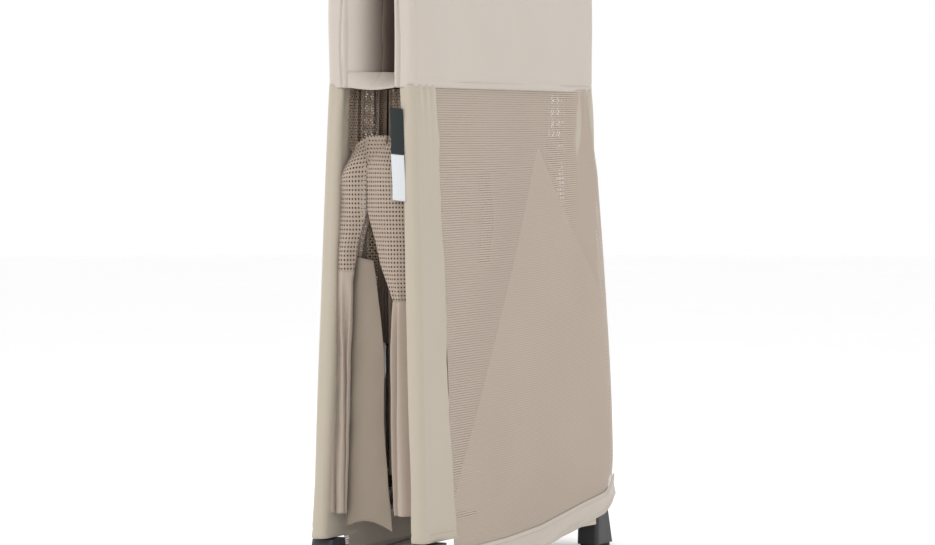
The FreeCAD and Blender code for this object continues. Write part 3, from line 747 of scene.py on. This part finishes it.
def build_tags():
    """Two plain sewn-in tags on the left side of the near end."""
    wide = 0.022
    tags = (("tag_upper", 0.722, 0.653, TAG_DARK), ("tag_lower", 0.652, 0.583, TAG_LIGHT))
    for name, high, low, material in tags:
        rows = []
        for z in np.linspace(low, high, 24):
            x = np.linspace(leg_x(z) - 0.006 - wide, leg_x(z) - 0.006, 14)
            s = np.linspace(0, 1, 14)
            y = -(0.3275 + 0.0012 * np.sin(math.pi * s) + 0.0007 * np.sin(z * 80))
            rows.append(np.stack([x, y, np.full_like(x, z) - 0.002 * s], -1))
        grid = np.array(rows)
        tag = surface(name, grid, material, thick=0.0006)
        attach(tag, "near_end")


# ---------------------------------------------------------------- floor pads

def build_mattress(end):
    """A thin padded floor half: crowned between sewn cross channels, with a piped edge."""
    low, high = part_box(f"{end}_base_mattress")
    half_y, half_z = (high[1] - low[1]) / 2, (high[2] - low[2]) / 2
    middle = [(low[k] + high[k]) / 2 for k in range(3)]
    thick = (high[0] - low[0]) / 2
    count = 90
    u = np.linspace(-1, 1, count)
    rows = []
    for side in (1, -1):
        for v in (u if side > 0 else u[::-1]):
            crown = (1 - np.abs(u) ** 10) ** 0.4 * (1 - abs(v) ** 10) ** 0.4
            channel = 1 - 0.45 * math.exp(-((abs(v) - 0.34) / 0.018) ** 2)
            t = 0.0006 + (thick - 0.0006) * crown * channel
            x = middle[0] + side * t
            rows.append(np.stack([x, middle[1] + u * half_y, np.full_like(u, middle[2] + v * half_z)], -1))
    pad = surface(f"{end}_floor_pad", np.array(rows), MATTRESS_CLOTH, flip=True)
    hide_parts(f"{end}_base_mattress")
    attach(pad, f"{end}_base")


def build_floor_cover():
    """The cloth flap along the middle of the floor, and the dark webs that close its edges."""
    half_width, foot, high = 0.222, 0.628, 0.126
    y = np.linspace(-half_width, half_width, 90)
    rows = []
    for t in np.linspace(0, 1, 24):
        z = np.full_like(y, foot + high * t)
        x = 0.0335 + 0.0030 * ripple(y, z, 91, long=0.3, short=0.09) * t
        rows.append(np.stack([x, y, z], -1))
    grid = np.array(rows)
    # the flap uses the side cloth darkened as painted shade
    flap = surface("floor_flap", grid, SHADED_SIDE_CLOTH, thick=CLOTH_THICK)
    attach(flap, "near_base")
    web_low, web_high, web_half, web_y = 0.168, 0.632, 0.0112, 0.2345
    for word, sy in (("left", -1), ("right", 1)):
        s = np.linspace(-1, 1, 12)
        rows = []
        for z in np.linspace(web_low, web_high, 70):
            y = sy * (web_y + 0.0020 * (1 - s * s))
            rows.append(np.stack([web_half * s, y, np.full_like(s, z)], -1))
        web = surface(f"floor_edge_web_{word}", np.array(rows), UNDER_CLOTH, flip=sy > 0)
        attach(web, "near_base")


def build_strap():
    """The webbing loop that pulls the floor up, sewn down at both ends."""
    low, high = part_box("base_pull_strap")
    y = np.linspace(low[1], high[1], 14)
    rows = []
    for t in np.linspace(0, 1, 60):
        z = low[2] + (high[2] - low[2]) * t
        x = (low[0] + high[0]) / 2 - 0.0006 + 0.006 * math.sin(math.pi * t) ** 2
        rows.append(np.stack([np.full_like(y, x), y, np.full_like(y, z)], -1))
    grid = np.array(rows)
    strap = surface("floor_pull_strap", grid, WEBBING, thick=0.0014)
    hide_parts("base_pull_strap")
    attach(strap, "near_base")


# ---------------------------------------------------------------- stage

AIM = np.array((0.0, 0.0, 0.45))  # the lights point at the middle of the object


def build_stage():
    """The studio: a pale floor, an even white world, soft lights and the camera."""
    scene = bpy.context.scene
    scene.view_settings.view_transform = "Standard"
    world = bpy.data.worlds.new("studio")
    world.use_nodes = True
    background = world.node_tree.nodes["Background"]
    background.inputs[0].default_value = (1.0, 1.0, 1.0, 1.0)
    background.inputs[1].default_value = 1.0
    scene.world = world
    azimuth, pitch, yaw = math.radians(26.5), math.radians(-2.03), math.radians(-0.02)
    distance, eye = 5.70, 0.665
    camera_data = bpy.data.cameras.new("camera")
    camera_data.lens, camera_data.sensor_width = 138.0, 36.0
    camera = bpy.data.objects.new("camera", camera_data)
    camera.location = (math.sin(azimuth) * distance, -math.cos(azimuth) * distance, eye)
    camera.rotation_euler = (math.pi / 2 + pitch, 0, azimuth + yaw)
    scene.collection.objects.link(camera)
    scene.camera = camera
    lights = (("key", (-0.6, -3.4, 2.6), 1.8, 26), ("fill", (3.4, -0.6, 1.8), 2.4, 8),
              ("top", (0.0, 0.4, 3.4), 2.6, 24), ("back", (-2.6, 2.6, 2.2), 2.2, 10),
              ("left", (-3.0, -1.6, 1.2), 1.5, 16))
    for name, place, size, power in lights:
        data = bpy.data.lights.new(name, "AREA")
        data.size, data.energy = size, power
        light = bpy.data.objects.new(name, data)
        light.location = place
        aim = AIM - np.array(place)
        light.rotation_euler = (math.atan2(math.hypot(aim[0], aim[1]), -aim[2]), 0,
                                math.atan2(aim[1], aim[0]) - math.pi / 2)
        scene.collection.objects.link(light)
    g = Graph("pale_floor", roughness=0.7, specular=0.2)
    pale = g.finish(g.blend(g.noise(2.0, 2.0), (0.97, 0.97, 0.97, 1), (0.99, 0.99, 0.99, 1)),
                    g.bump(g.noise(300.0, 2.0), 0.0003, 0.1))
    turns = np.linspace(0, TAU, 96, endpoint=False)
    radii = (0.001, 1.0, 4.0, 16.0)
    ring = np.array([[(r * math.cos(a), r * math.sin(a), 0.0) for a in turns] for r in radii])
    surface("floor", ring, pale, closed=True, flip=True)


build_stage()
plain_finish()
for end_name, x_sign in (("near", 1), ("far", -1)):
    build_band(end_name, x_sign)
    build_panel(end_name, x_sign)
    build_mattress(end_name)
    for side_name, y_sign in (("left", -1), ("right", 1)):
        build_sleeve(end_name, side_name, x_sign, y_sign)
        pocket = build_pocket(end_name, side_name, x_sign, y_sign)
        build_lower_fan(end_name, side_name, x_sign, y_sign)
        build_upper_fan(end_name, side_name, x_sign, y_sign)
        if end_name == "near":
            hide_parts(f"{side_name}_side_fabric")
for side_name, y_sign in (("left", -1), ("right", 1)):
    build_inner_panel(side_name, y_sign)
build_tags()
build_floor_cover()
build_strap()
